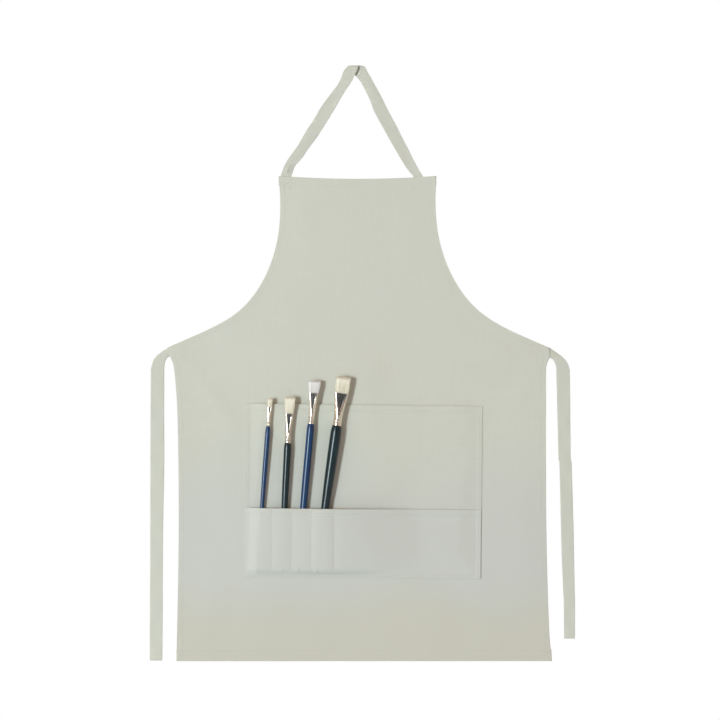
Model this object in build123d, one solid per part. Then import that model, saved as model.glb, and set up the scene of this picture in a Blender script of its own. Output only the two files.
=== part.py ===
from build123d import *

import os
from collections import namedtuple
from math import atan, cos, degrees, radians, sin

# Artist's bib apron of natural canvas, hanging by its neck loop, with four flat brushes in its pocket.
# Millimetres, +Z up, the front faces -Y. The origin is the inside top of the neck loop, on the hook.

# --- Cloth ---
CANVAS = 0.8  # thickness of one layer of canvas
TAPE = 1.2  # thickness of the folded tape of the neck strap and the waist ties
SIDE_HEM = 11.0  # width of the turned hem along armholes and sides
TOP_HEM = 18.0  # depth of the turned hem along the top of the bib
BOTTOM_HEM = 22.0  # depth of the turned hem along the bottom

# --- Layers, as places along Y ---
PANEL_FRONT = -CANVAS / 2
PANEL_BACK = CANVAS / 2
HEM_BACK = PANEL_BACK + CANVAS
TIE_FRONT = HEM_BACK + 0.3  # the ties swing just behind the hems

# --- Body panel, hanging slightly off plumb ---
SIGN = {"left": -1, "right": 1}
BIB_TOP = -205.0
HEMLINE = -1110.0
BIB_MIDDLE = 5.6  # sideways place of the middle of the bib's top edge
DRIFT = 0.0125  # sideways drift of the panel's middle per millimetre of drop
CORNER_HALF = 354.0  # half the width at the waist corners
CORNER_TOP = -523.0  # where the armhole curve ends in the waist corner
ARMHOLE = [(147, BIB_TOP), (144.8, -255), (150, -318), (176, -395), (222, -455), (301, -500)]
SIDE = [(353.5, -543), (348.8, -554), (346.9, -565), (345, -590), (342, -700), (343, -900), (349, HEMLINE)]

# --- Waist fold, where skirt and bib bend against each other ---
FOLD = -560.0
FOLD_GAP = 2.6  # clear cloth on each side of the fold line

# --- Neck strap ---
STRAP_WIDTH_ACROSS = 25.4  # level width of a slanting leg of a 22 mm tape
STRAP_FOLD_RADIUS = 2.6  # inside radius of the fold over the hook
STRAP_FEET = {"left": -126.0, "right": 118.0}  # middle of each leg at the bib's top edge
STRAP_BOTTOM = BIB_TOP + 3.0
TAB_TOP = BIB_TOP - 1.0
TAB_WIDTH = 22.0
TAB_LENGTH = 25.0

# --- Waist ties ---
TIE_WIDTH = 24.0
TIE_HINGE = -563.0  # level below the soft shoulder where the hanging tape starts to swing
TIE_SLIT = 1.0  # clear cloth on each side of that level
TIE_PIVOT = (-5.0, -532.0)  # from the waist corner, outwards, and its level
TIE_ROOT_RADIUS = 9.0
TIE_TAB_IN = 16.0  # from the waist corner inwards to the sewn end
TIE_TAB_LEVELS = (-545.0, -524.0)
SHOULDER_OUT = 24.75  # middle of the hanging tape, outwards from the waist corner
SHOULDER_HALF = 12.25
SHOULDER_START = (0.0, -522.5)  # outer edge of the soft shoulder, from the waist corner
SHOULDER_CROWN = (22.0, -535.5)
SHOULDER_CROOK = (7.5, -547.0)  # its inner edge
SHOULDER_UNDER = (1.5, -541.0)
SHOULDER_INNER_TOP = -523.0
TIE_FEET = {"left": (-372.0, -1108.7), "right": (401.0, -1067.7)}  # middle of each lower end
TIE_END_HEM = 15.0
TIE_END_INSET = 0.5

# --- Large pocket ---
POCKET_WIDTH = 443.0
POCKET_TOP = -632.5
POCKET_BOTTOM = -954.5
POCKET_MIDDLE = 16.0
POCKET_TURN = 0.6  # degrees, sewn on slightly crooked
POCKET_ROOM = 5.6  # clear depth inside a pocket
POCKET_SLOPE = 6.0  # width of the sloping rim down to the seam
POCKET_HEM = 12.0
POCKET_HEM_INSET = 8.0  # from the pocket's sides to the ends of its hem's turned layer

# --- Brush pocket, sewn over the lower part of the large pocket ---
MOUTH = -826.0  # level of the brush pocket's open edge
MOUTH_HEM = 10.0
BRUSH_PLANE = PANEL_FRONT - POCKET_ROOM - CANVAS  # outer face of the large pocket
SHEET_FRONT = BRUSH_PLANE - CANVAS
WIDE_ROOM = (-34.0, 225.0)  # sides of the wide compartment
DIVIDERS = [-154.0, -117.5, -80.5, -38.0]  # stitched lines between the sleeves
SLEEVE_FLARE = 5.0  # how much wider than the handle a sleeve is, each side
SLEEVE_ROOM = 0.6  # clear space between a handle and the sleeve's front
SLEEVE_BELOW = 1.0  # clear space under a handle's foot
SLEEVE_ABOVE = 10.0  # how far a sleeve is drawn past the mouth before the mouth is cut
WIDE_RISE = 3.0  # from the sheet's lower edge up to the wide compartment's
TACK = (1.6, 0.4, 7.0)  # a bar tack: width, thickness, height
TACK_BELOW = 1.0  # from the mouth down to a tack

# --- Brushes ---
HIDDEN = 114.0  # how deep a brush stands in its sleeve
STAND_OFF = 2.0  # clear space between a handle and the cloth behind it
BELLY_BELOW_FERRULE = 22.0
FOOT_ROUND = 4.0  # height of the rounded foot of a handle
TENON = 14.0  # how far the handle reaches into the ferrule
TENON_STEP = 0.6  # how much thinner the handle is inside the ferrule
BARREL_SHARE = 0.32  # the round part of a ferrule, before it flattens
RING_SHARES = (0.3, 0.6)  # places of the crimped rings along that part
RING_RADIUS = 0.6
RING_SINK = 0.2
ROOT = 6.0  # how far the bristles reach into the ferrule
Brush = namedtuple(
    "Brush",
    "mouth_x lean r_foot r_mouth r_belly r_ferrule handle ferrule bristle mouth_width mouth_depth tip_width",
)
BRUSHES = {
    "brush_1": Brush(-172.2, 4.4, 2.4, 3.8, 4.7, 3.4, 269, 36, 17, 8.4, 4.0, 9.5),
    "brush_2": Brush(-130.2, 3.0, 3.0, 5.7, 6.7, 5.4, 238, 55, 33, 15.6, 5.0, 20.5),
    "brush_3": Brush(-95.2, 5.15, 3.2, 6.2, 6.8, 5.6, 274, 58, 24, 18.0, 5.4, 23.0),
    "brush_4": Brush(-55.0, 8.2, 3.8, 7.4, 10.0, 8.2, 272, 61, 32, 26.0, 6.4, 27.0),
}

BIG = 3000.0
OVERCUT = 20.0  # how far a cut runs past the edge that it opens


def middle(z):
    """Sideways place of the panel's middle at a level."""
    return BIB_MIDDLE + DRIFT * (BIB_TOP - z)


def upright(shape, front, depth):
    """A flat shape drawn in X and Z, thickened along Y from its front face backwards."""
    plane = Plane(origin=(0, front + depth, 0), x_dir=(1, 0, 0), z_dir=(0, -1, 0))
    return extrude(plane * shape, amount=depth)


def block(x0, x1, y0, y1, z0, z1):
    return Pos((x0 + x1) / 2, (y0 + y1) / 2, (z0 + z1) / 2) * Box(x1 - x0, y1 - y0, z1 - z0)


def band(x0, x1, z0, z1):
    """A flat rectangle, for cutting outlines."""
    return Pos((x0 + x1) / 2, (z0 + z1) / 2) * Rectangle(x1 - x0, z1 - z0)


def save(name, part):
    part.label = name
    export_step(part, f"parts/{name}.step")


# --- Body panel and hems ---


def side_curves(side):
    """The armhole curve and the skirt's side line of one side, both drawn downwards."""
    corner = (CORNER_HALF, CORNER_TOP)
    armhole = [(side * x + middle(z), z) for x, z in ARMHOLE + [corner]]
    down = [(side * x + middle(z), z) for x, z in [corner] + SIDE]
    return Spline(*armhole, tangents=[(-0.05 * side, -1), (0.92 * side, -0.39)]), Spline(*down)


def panel_outline():
    left, right = side_curves(-1), side_curves(1)
    top = Line(left[0] @ 0, right[0] @ 0)
    bottom = Line(left[1] @ 1, right[1] @ 1)
    return make_face([top, *left, *right, bottom])


def hem_strip(curve, side):
    """A strip of hem width along the inner side of a curve."""
    steps = 12
    inner = []
    for step in range(steps + 1):
        way = curve % (step / steps)
        inner.append(curve @ (step / steps) + Vector(side * way.Y, -side * way.X) * SIDE_HEM)
    edge = Spline(*inner)
    face = make_face([curve, Line(curve @ 1, edge @ 1), edge, Line(edge @ 0, curve @ 0)])
    return upright(face, PANEL_BACK, CANVAS)


def cloth_body():
    outline = panel_outline()
    bib_zone = band(-BIG, BIG, FOLD + FOLD_GAP, BIG)
    skirt_zone = band(-BIG, BIG, -BIG, FOLD - FOLD_GAP)
    save("bib_panel", upright(outline & bib_zone, PANEL_FRONT, CANVAS))
    save("skirt_panel", upright(outline & skirt_zone, PANEL_FRONT, CANVAS))
    save("bib_top_hem", upright(outline & band(-BIG, BIG, BIB_TOP - TOP_HEM, BIG), PANEL_BACK, CANVAS))
    save("bottom_hem", upright(outline & band(-BIG, BIG, -BIG, HEMLINE + BOTTOM_HEM), PANEL_BACK, CANVAS))
    for name, side in SIGN.items():
        armhole, down = side_curves(side)
        hem = hem_strip(armhole, side) + hem_strip(down, side)
        armhole_zone = block(-BIG, BIG, -BIG, BIG, FOLD + FOLD_GAP, BIB_TOP - TOP_HEM)
        side_zone = block(-BIG, BIG, -BIG, BIG, HEMLINE + BOTTOM_HEM, FOLD - FOLD_GAP)
        save(f"armhole_hem_{name}", hem & armhole_zone)
        save(f"side_hem_{name}", hem & side_zone)


# --- Neck strap ---


def strap_leg(front_sign, foot_x):
    """One leg of the strap: a slanting strip that leans from its layer at the hook to behind the bib."""
    inner = front_sign * STRAP_FOLD_RADIUS
    outer = front_sign * (STRAP_FOLD_RADIUS + TAPE)
    foot = sorted([HEM_BACK, HEM_BACK + TAPE], reverse=front_sign > 0)
    profile = Polyline(
        (inner, -STRAP_FOLD_RADIUS),
        (outer, -STRAP_FOLD_RADIUS),
        (foot[0], STRAP_BOTTOM),
        (foot[1], STRAP_BOTTOM),
        close=True,
    )
    side_view = Plane(origin=(-BIG / 2, 0, 0), x_dir=(0, 1, 0), z_dir=(1, 0, 0))
    sheet = extrude(side_view * make_face(profile), amount=BIG)
    half = STRAP_WIDTH_ACROSS / 2
    leaned = foot_x * STRAP_BOTTOM / BIB_TOP
    outline = Polyline(
        (-half, 0), (half, 0), (leaned + half, STRAP_BOTTOM), (leaned - half, STRAP_BOTTOM), close=True
    )
    return sheet & upright(make_face(outline), -BIG / 2, BIG)


def neck_strap():
    radius = STRAP_FOLD_RADIUS
    half = STRAP_WIDTH_ACROSS / 2
    fold = Pos(0, 0, -radius) * Rot(0, 90, 0) * Cylinder(radius + TAPE, STRAP_WIDTH_ACROSS)
    fold -= Pos(0, 0, -radius) * Rot(0, 90, 0) * Cylinder(radius, BIG)
    fold &= block(-half, half, -BIG, BIG, -radius, BIG)
    strap = fold + strap_leg(-1, STRAP_FEET["left"]) + strap_leg(1, STRAP_FEET["right"])
    save("neck_strap", strap)
    for side, foot_x in STRAP_FEET.items():
        x0 = foot_x - TAB_WIDTH / 2
        tab = block(x0, x0 + TAB_WIDTH, HEM_BACK, HEM_BACK + TAPE, TAB_TOP - TAB_LENGTH, TAB_TOP)
        save(f"strap_tab_{side}", tab)


# --- Waist ties ---


def tie(side):
    """The sewn end behind the waist corner, the soft shoulder, and the hanging tape with its end hem."""
    sign = SIGN[side]
    corner_x = sign * CORNER_HALF + middle(CORNER_TOP)

    def at(out, z):
        return (corner_x + sign * out, z)

    bottom = TIE_HINGE + TIE_SLIT
    pivot = at(*TIE_PIVOT)
    start, end = at(*SHOULDER_START), at(*SHOULDER_UNDER)
    outer = at(SHOULDER_OUT + SHOULDER_HALF, bottom)
    inner = at(SHOULDER_OUT - SHOULDER_HALF, bottom)
    over = ThreePointArc(start, at(*SHOULDER_CROWN), outer)
    under = ThreePointArc(inner, at(*SHOULDER_CROOK), end)
    back = Polyline(end, (pivot[0], end[1]), (pivot[0], SHOULDER_INNER_TOP), start)
    shoulder = make_face([over, Line(outer, inner), under, *back.edges()])
    shoulder += Pos(*pivot) * Circle(TIE_ROOT_RADIUS)
    save(f"tie_shoulder_{side}", upright(shoulder, TIE_FRONT, TAPE))

    tab_x = sorted([at(-TIE_TAB_IN, 0)[0], at(-TIE_TAB_IN - TAB_WIDTH, 0)[0]])
    save(f"tie_tab_{side}", block(*tab_x, HEM_BACK, HEM_BACK + TAPE, *TIE_TAB_LEVELS))

    half = TIE_WIDTH / 2
    top_x = at(SHOULDER_OUT, 0)[0]
    foot_x, foot_z = TIE_FEET[side]
    strip = Polyline(
        (top_x - half, TIE_HINGE - TIE_SLIT),
        (top_x + half, TIE_HINGE - TIE_SLIT),
        (foot_x + half, foot_z),
        (foot_x - half, foot_z),
        close=True,
    )
    save(f"tie_{side}", upright(make_face(strip), TIE_FRONT, TAPE))


def tie_end_hem():
    """Only the left tie ends in a turned hem, on its back."""
    foot_x, foot_z = TIE_FEET["left"]
    half = TIE_WIDTH / 2 - TIE_END_INSET
    back = TIE_FRONT + TAPE
    hem = block(foot_x - half, foot_x + half, back, back + CANVAS, foot_z, foot_z + TIE_END_HEM)
    save("tie_end_hem_left", hem)


# --- Pockets ---

POCKET_PLACE = Pos(POCKET_MIDDLE, 0, (POCKET_TOP + POCKET_BOTTOM) / 2) * Rot(0, POCKET_TURN, 0)


def local(x, z):
    """A place on the apron, seen from the middle of the pocket."""
    return x - POCKET_MIDDLE, z - (POCKET_TOP + POCKET_BOTTOM) / 2


def upright_rectangle(x0, x1, z0, z1, y):
    plane = Plane(origin=((x0 + x1) / 2, y, (z0 + z1) / 2), x_dir=(1, 0, 0), z_dir=(0, -1, 0))
    return plane * Rectangle(x1 - x0, z1 - z0)


def tray(x0, x1, z0, z1, base, depth, slope):
    """A shallow raised shape with sloping sides and bottom, and a straight top at z1."""
    foot = upright_rectangle(x0, x1, z0, z1, base)
    face = upright_rectangle(x0 + slope, x1 - slope, z0 + slope, z1, base - depth)
    return loft([foot, face])


def raised_pocket(x0, x1, z0, z1, base):
    """The outer shape of a pocket and the room inside it, open at the top."""
    outer = tray(x0, x1, z0, z1, base, POCKET_ROOM + CANVAS, POCKET_SLOPE)
    wall = POCKET_SLOPE * CANVAS / (POCKET_ROOM + CANVAS)
    above = z1 + OVERCUT
    room = tray(x0 + wall, x1 - wall, z0 + wall, above, base, POCKET_ROOM, POCKET_SLOPE - wall)
    return outer, room


def large_pocket():
    x0, z0 = local(POCKET_MIDDLE - POCKET_WIDTH / 2, POCKET_BOTTOM)
    x1, z1 = local(POCKET_MIDDLE + POCKET_WIDTH / 2, POCKET_TOP)
    outer, room = raised_pocket(x0, x1, z0, z1, PANEL_FRONT)
    save("large_pocket", POCKET_PLACE * (outer - room))
    inside = PANEL_FRONT - POCKET_ROOM
    hem = block(x0 + POCKET_HEM_INSET, x1 - POCKET_HEM_INSET, inside, inside + CANVAS, z1 - POCKET_HEM, z1)
    save("large_pocket_hem", POCKET_PLACE * hem)


def brush_tilt(brush):
    """Degrees that a brush tips forwards, so that its tapered handle lies along the cloth."""
    return degrees(atan((brush.r_belly - brush.r_foot) / (brush.handle - BELLY_BELOW_FERRULE)))


def brush_place(brush):
    lean = radians(brush.lean)
    foot_x = brush.mouth_x - HIDDEN * sin(lean)
    foot_z = MOUTH - HIDDEN * cos(lean)
    foot_y = BRUSH_PLANE - STAND_OFF - brush.r_foot
    return Pos(foot_x, foot_y, foot_z) * Rot(0, brush.lean, 0) * Rot(brush_tilt(brush), 0, 0)


def sleeve_section(brush, z, wall):
    """The level section of a sleeve round a handle, as an ellipse centred on the cloth behind it."""
    place = brush_place(brush)
    foot = place.position
    way = (place * Pos(0, 0, 1)).position - foot
    along = (z - foot.Z) / way.Z
    axis = foot + way * along
    radius = brush.r_foot + (brush.r_mouth - brush.r_foot) * along / HIDDEN
    half_width = radius + SLEEVE_FLARE + wall
    depth = BRUSH_PLANE - axis.Y + radius + SLEEVE_ROOM + wall
    return Pos(axis.X, BRUSH_PLANE, z) * Ellipse(half_width, depth)


def sleeve(brush, wall):
    """A tapered sleeve along a leaning handle, solid."""
    bottom = brush_place(brush).position.Z - SLEEVE_BELOW - wall
    return loft([sleeve_section(brush, bottom, wall), sleeve_section(brush, MOUTH + SLEEVE_ABOVE, wall)])


def brush_pocket():
    """The sheet with its wide compartment, and the four sleeves as arches between the stitch lines."""
    x0, z0 = local(POCKET_MIDDLE - POCKET_WIDTH / 2 + POCKET_SLOPE, POCKET_BOTTOM + POCKET_SLOPE)
    x1, mouth = local(POCKET_MIDDLE + POCKET_WIDTH / 2 - POCKET_SLOPE, MOUTH)
    sheet = block(x0, x1, SHEET_FRONT, BRUSH_PLANE, z0, mouth)
    wide_x0, wide_x1 = (local(x, 0)[0] for x in WIDE_ROOM)
    wide, wide_room = raised_pocket(wide_x0, wide_x1, z0 + WIDE_RISE, mouth, BRUSH_PLANE)
    above = block(-BIG, BIG, -BIG, BIG, mouth, BIG)
    behind = block(-BIG, BIG, BRUSH_PLANE, BIG, -BIG, BIG)

    pocket = POCKET_PLACE * (sheet + wide - wide_room)
    for number, brush in enumerate(BRUSHES.values(), 1):
        arch = sleeve(brush, CANVAS)
        pocket -= arch
        save(f"sleeve_{number}", arch - sleeve(brush, 0) - behind - POCKET_PLACE * above)

    hem_zone = POCKET_PLACE * block(-BIG, BIG, -BIG, BIG, mouth - MOUTH_HEM, BIG)
    save("brush_pocket", pocket - hem_zone)
    save("brush_pocket_hem", pocket & hem_zone)

    tacks = []
    for x in DIVIDERS:
        tack_x = local(x, 0)[0]
        tack_z = mouth - TACK_BELOW - TACK[2] / 2
        tacks.append(POCKET_PLACE * Pos(tack_x, SHEET_FRONT - TACK[1] / 2, tack_z) * Box(*TACK))
    save("sleeve_bar_tacks", Compound(tacks))


# --- Brushes ---


def handle_solid(brush):
    """A turned handle: rounded foot, long taper, belly, shoulder, and the tenon inside the ferrule."""
    neck = brush.handle
    radius = brush.r_foot
    tenon = brush.r_ferrule - TENON_STEP
    foot, belly = (radius, FOOT_ROUND), (brush.r_belly, neck - BELLY_BELOW_FERRULE)
    foot_arc = ThreePointArc((0, 0), (radius * 0.75, FOOT_ROUND * 0.3), foot)
    taper = Spline(foot, (brush.r_mouth, HIDDEN), belly, tangents=[(brush.r_mouth - radius, HIDDEN), (0, 1)])
    shoulder = Spline(belly, (brush.r_ferrule, neck), tangents=[(0, 1), (-0.25, 1)])
    top = Polyline((brush.r_ferrule, neck), (tenon, neck), (tenon, neck + TENON), (0, neck + TENON), (0, 0))
    return revolve(Plane.XZ * make_face([foot_arc, taper, shoulder, *top.edges()]), Axis.Z)


def oval(brush, width_less, depth_less, z):
    """A section of the flat end, a little narrower and thinner than the ferrule's mouth."""
    return Pos(0, 0, z) * Ellipse(brush.mouth_width / 2 - width_less, brush.mouth_depth / 2 - depth_less)


def ferrule_solid(brush):
    """Round and crimped where it grips the handle, flat at its mouth; still filled."""
    neck = brush.handle
    crimp = neck + brush.ferrule * BARREL_SHARE
    barrel = Pos(0, 0, (neck + crimp) / 2) * Cylinder(brush.r_ferrule, crimp - neck)
    round_end = Pos(0, 0, crimp) * Circle(brush.r_ferrule)
    ferrule = barrel + loft([round_end, oval(brush, 0, 0, neck + brush.ferrule)])
    for share in RING_SHARES:
        ring_z = neck + (crimp - neck) * share
        ferrule += Pos(0, 0, ring_z) * Torus(brush.r_ferrule - RING_SINK, RING_RADIUS)
    return ferrule


def bristle_solid(brush):
    """A flat tuft, fuller at its middle and thin at its tip."""
    mouth = brush.handle + brush.ferrule
    root = oval(brush, 1.6, 0.7, mouth - ROOT)
    lip = oval(brush, 0.5, 0.5, mouth)
    full = Pos(0, 0, mouth + brush.bristle / 2) * Ellipse(brush.tip_width / 2, brush.mouth_depth / 2)
    tip = Pos(0, 0, mouth + brush.bristle) * Ellipse(brush.tip_width / 2 - 0.4, brush.mouth_depth / 2 - 1.2)
    return loft([root, lip]) + loft([lip, full]) + loft([full, tip])


def brush_pieces(brush):
    """Handle, ferrule and bristles, standing on the handle's foot at the origin."""
    handle, bristles = handle_solid(brush), bristle_solid(brush)
    return handle, ferrule_solid(brush) - handle - bristles, bristles


def brushes():
    for name, brush in BRUSHES.items():
        place = brush_place(brush)
        for piece, part in zip(("handle", "ferrule", "bristles"), brush_pieces(brush)):
            save(f"{name}_{piece}", place * part)


os.makedirs("parts", exist_ok=True)
cloth_body()
neck_strap()
for tie_side in SIGN:
    tie(tie_side)
tie_end_hem()
large_pocket()
brush_pocket()
brushes()
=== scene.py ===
import itertools
import math
from collections import namedtuple

import bmesh
import bpy
import numpy as np
from mathutils import Matrix, Vector


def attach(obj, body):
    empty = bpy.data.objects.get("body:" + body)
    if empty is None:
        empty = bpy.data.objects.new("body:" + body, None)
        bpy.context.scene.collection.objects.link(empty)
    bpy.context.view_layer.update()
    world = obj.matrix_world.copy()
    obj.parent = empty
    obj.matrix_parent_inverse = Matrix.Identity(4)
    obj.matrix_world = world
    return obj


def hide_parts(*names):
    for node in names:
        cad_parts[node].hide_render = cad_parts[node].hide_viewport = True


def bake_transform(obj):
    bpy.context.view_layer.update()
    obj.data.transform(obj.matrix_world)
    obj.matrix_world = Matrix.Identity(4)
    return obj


# Artist's canvas apron on its neck loop, with four flat brushes. Lengths are millimetres unless a
# comment says metres; meshes are scaled to metres as they are made. The front faces -Y.
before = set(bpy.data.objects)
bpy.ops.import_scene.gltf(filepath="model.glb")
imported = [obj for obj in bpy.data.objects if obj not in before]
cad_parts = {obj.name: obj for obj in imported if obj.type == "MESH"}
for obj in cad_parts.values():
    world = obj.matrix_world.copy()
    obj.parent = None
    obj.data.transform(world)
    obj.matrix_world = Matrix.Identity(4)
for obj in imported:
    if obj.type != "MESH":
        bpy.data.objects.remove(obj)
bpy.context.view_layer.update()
MM = 0.001

# --- Camera, light and floor, metres ---
VIEW_CENTRE = (0.0103, -0.5483)  # sideways and up
VIEW_WIDTH = 1.3428  # at the apron
VIEW_END = 60.0
CAMERA_BACK = 4.0
SENSOR = 36.0  # millimetres
FLOOR_LEVEL = -1.9
FLOOR_NEAR, FLOOR_FAR, FLOOR_HALF = -9.0, 3.0, 7.0
FLOOR_COLOURS = ((0.70, 0.80, 0.88, 1), (0.75, 0.855, 0.94, 1))  # neutral under the warm light
ROOM_DARK = (0.030, 0.036, 0.046)  # the unlit part of the room, behind the camera
ROOM_STEPS = [  # from where to where, as shares of straight backwards, the room changes to which colour
    (-0.965, -0.78, (0.60, 0.43, 0.345)),
    (-0.10, 0.35, (0.74, 0.73, 0.71)),
]
KEY_COLOUR = (0.837, 0.958, 1.0)
KEY_POWER = 1050.0
KEY_PLACE = (-6.5, -10.1, -0.65)  # level with the brushes, so that their shadows fall straight aside
KEY_AIM = (0.0, 0.0, -0.55)
KEY_SIZE = (1.4, 3.0)

# --- Cloth, as in the part ---
CANVAS = 0.8
TAPE = 1.2
SIDE_HEM = 11.0
TOP_HEM = 18.0
BOTTOM_HEM = 22.0
HEM_BACK = 1.2  # from the panel's middle layer to the hems' backs
SUNK = 0.05  # how far stitches sink into the cloth
BIB_TOP = -205.0
HEMLINE = -1110.0
BIB_MIDDLE = 5.6  # sideways place of the bib's middle
DRIFT = 0.0125  # how far that moves sideways for each millimetre down
CORNER = (354.0, -523.0)
ARMHOLE = [(147, BIB_TOP), (144.8, -255), (150, -318), (176, -395), (222, -455), (301, -500), CORNER]
SIDE = [CORNER, (353.5, -543), (348.8, -554), (346.9, -565), (345, -590)]
SIDE += [(342, -700), (343, -900), (349, HEMLINE)]
SIDES = {"left": -1, "right": 1}
FACES = {"back": (0, 1, 0), "front": (0, -1, 0)}  # of the panel, and which way each looks
PANEL_INSET = 1.0  # the hems' folds wrap this much of the panel's edge
TOP_SAG = 5.4  # how far the bib's top edge droops between the strap's feet

# --- Thread ---
THREAD = 0.24  # radius
STITCH = 2.7  # length
STITCH_PITCH = 3.3


def middle(z):
    """Sideways place of the panel's middle at a level."""
    return BIB_MIDDLE + DRIFT * (BIB_TOP - np.asarray(z, float))


def smooth(t):
    t = np.clip(t, 0, 1)
    return t * t * (3 - 2 * t)


def bell(distance, width):
    """A smooth rise to 1 where distance is 0."""
    return np.exp(-((distance / width) ** 2))


def floats(*values):
    """Numbers or arrays as arrays of one shape."""
    return np.broadcast_arrays(*(np.asarray(value, float) for value in values))


def unit(v):
    return v / np.maximum(np.linalg.norm(v, axis=-1, keepdims=True), 1e-9)


def arc_lengths(line):
    """The distance along a line of places, at each of them."""
    steps = np.linalg.norm(np.diff(line, axis=0), axis=1)
    return np.concatenate([[0], np.cumsum(steps)])


def between(a, b, share):
    return a + (b - a) * share


def spline(points, count, start=None, end=None):
    """count places along a smooth curve through points; start and end are directions at its ends."""
    p = np.array(points, float)
    t = arc_lengths(p)
    h = np.diff(t)
    n = len(p)
    a = np.zeros((n, n))
    b = np.zeros_like(p)
    for i in range(1, n - 1):
        a[i, i - 1 : i + 2] = h[i], 2 * (h[i - 1] + h[i]), h[i - 1]
        b[i] = 3 * (h[i] * (p[i] - p[i - 1]) / h[i - 1] + h[i - 1] * (p[i + 1] - p[i]) / h[i])
    for row, near, way, step in ((0, 1, start, p[1] - p[0]), (n - 1, n - 2, end, p[-1] - p[-2])):
        a[row, row] = 1
        if way is None:
            a[row, near] = 0.5
            b[row] = 1.5 * step / h[min(row, near)]
        else:
            b[row] = unit(np.array(way, float))
    m = np.linalg.solve(a, b)
    at = np.linspace(0, t[-1], count)
    k = np.clip(np.searchsorted(t, at, side="right") - 1, 0, n - 2)
    s = ((at - t[k]) / h[k])[:, None]
    turn = s * (1 - s) * ((1 - s) * m[k] - s * m[k + 1])
    return between(p[k], p[k + 1], smooth(s)) + h[k][:, None] * turn


ARMHOLE_CURVE = spline(ARMHOLE, 240, start=(-0.05, -1), end=(0.92, -0.39))
SIDE_CURVE = spline(SIDE, 240)
EDGE = np.vstack([ARMHOLE_CURVE, SIDE_CURVE[1:]])
EDGE_ARC = arc_lengths(EDGE)
EDGE_SLOPE = np.abs(np.gradient(EDGE[:, 0]) / np.gradient(EDGE[:, 1]))


def by_level(values, z):
    return np.interp(-np.asarray(z, float), -EDGE[:, 1], values)


def edge_gap(x, z):
    """How far inside the nearer armhole or side edge a place is."""
    level = by_level(EDGE[:, 0], z) - np.abs(x - middle(z))
    return level / np.sqrt(1 + by_level(EDGE_SLOPE, z) ** 2)


def ripple(x, z, seed, length, height):
    """Gentle relief without repeats: waves of nearly one length, running in different directions."""
    rng = np.random.default_rng(seed)
    total = np.zeros(np.broadcast(x, z).shape)
    for turn in np.linspace(0, math.pi, 7, endpoint=False):
        turn += rng.uniform(-0.2, 0.2)
        wave = 2 * math.pi / (length * rng.uniform(0.7, 1.4))
        phase = rng.uniform(0, 2 * math.pi)
        total = total + np.sin(wave * (x * math.cos(turn) + z * math.sin(turn)) + phase)
    return total * height / math.sqrt(7)


def crease(x, z, start, end, width, height):
    """A soft ridge along a line, fading out at its ends. A positive height is towards the back."""
    (ax, az), (bx, bz) = start, end
    length = math.hypot(bx - ax, bz - az)
    along = ((x - ax) * (bx - ax) + (z - az) * (bz - az)) / length**2
    across = ((x - ax) * (bz - az) - (z - az) * (bx - ax)) / length
    return height * bell(across, width) * np.clip(1 - (2 * along - 1) ** 2, 0, 1)


def pucker(along, gap, line, seed, height=0.12):
    """The small uneven puckers that a line of stitching draws into cloth."""
    wander = np.sin(along / 37.0 + seed) * 1.9 + np.sin(along / 83.0 + 2 * seed) * 2.6
    strength = 0.35 + 0.65 * np.sin(along / 51.0 + 3 * seed) ** 2
    wave = np.sin(2 * math.pi * along / 16.0 + wander) * strength
    return height * wave * bell(gap - line, 6.0)


BULGES = [  # centre, half-widths, how far the cloth stands out there
    ((8, -605), (62, 80), 5.5),
    ((-150, -900), (120, 110), 5.0),
]
PULLS = [  # start, end, width, height: soft folds where the cloth is drawn or hangs free
    ((-112, -225), (-75, -420), 22, -0.8),
    ((104, -225), (92, -440), 24, -0.8),
    ((-150, -380), (-210, -520), 20, 0.7),
    ((175, -380), (235, -520), 20, 0.7),
    ((-325, -535), (-215, -690), 16, -0.9),
    ((345, -535), (262, -700), 16, -0.9),
    ((-300, -560), (-290, -900), 30, 0.7),
    ((305, -600), (318, -1000), 34, -0.9),
    ((-255, -900), (-280, -1105), 26, -0.9),
    ((-60, -985), (-85, -1112), 30, -0.8),
    ((90, -975), (120, -1112), 32, 0.8),
    ((250, -965), (238, -1112), 24, -0.8),
]


def relief(x, z):
    """How far the hanging cloth stands behind a flat plane."""
    x, z = np.asarray(x, float), np.asarray(z, float)
    y = ripple(x, z, 3, 300, 0.55) + ripple(x, z, 8, 95, 0.12)
    for centre, size, out in BULGES:
        y = y - out * np.exp(-(((x - centre[0]) / size[0]) ** 2) - ((z - centre[1]) / size[1]) ** 2)
    for pull in PULLS:
        y = y + crease(x, z, *pull)
    arc = by_level(EDGE_ARC, z)
    side_seed = np.where(x < middle(z), 0.7, 2.9)
    y = y + pucker(arc, edge_gap(x, z), 8.0, side_seed)
    y = y + pucker(x, BIB_TOP - z, TOP_HEM - 2, 1.3)
    return y + pucker(x, z - HEMLINE, BOTTOM_HEM - 2, 4.1, 0.16)


def drape(x, z):
    """How far the hanging cloth has shifted sideways and sunk, at places on the flat one."""
    low = smooth((-540 - z) / 100) * smooth((z + 1060) / 380)
    flare = smooth((x - 300) / 60) * smooth((-1060 - z) / 50)
    sideways = (2.2 + 1.1 * np.clip(x / 340, -1, 1)) * low + 2.2 * flare
    return sideways, 2.3 * smooth((x - 200) / 110) * smooth((z + 600) / 60)


def lay(x, z, back=0.0):
    """Places on the hanging panel, from places on the flat one; back is how far behind its middle layer."""
    x, z = floats(x, z)
    droop = np.clip(1 - ((x - middle(z)) / 147.0) ** 2, 0, 1) * np.exp((z - BIB_TOP) / 70.0)
    sideways, sunk = drape(x, z)
    return np.stack([x + sideways, relief(x, z) + back, z - TOP_SAG * droop - sunk], -1)


# --- Meshes ---


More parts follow.
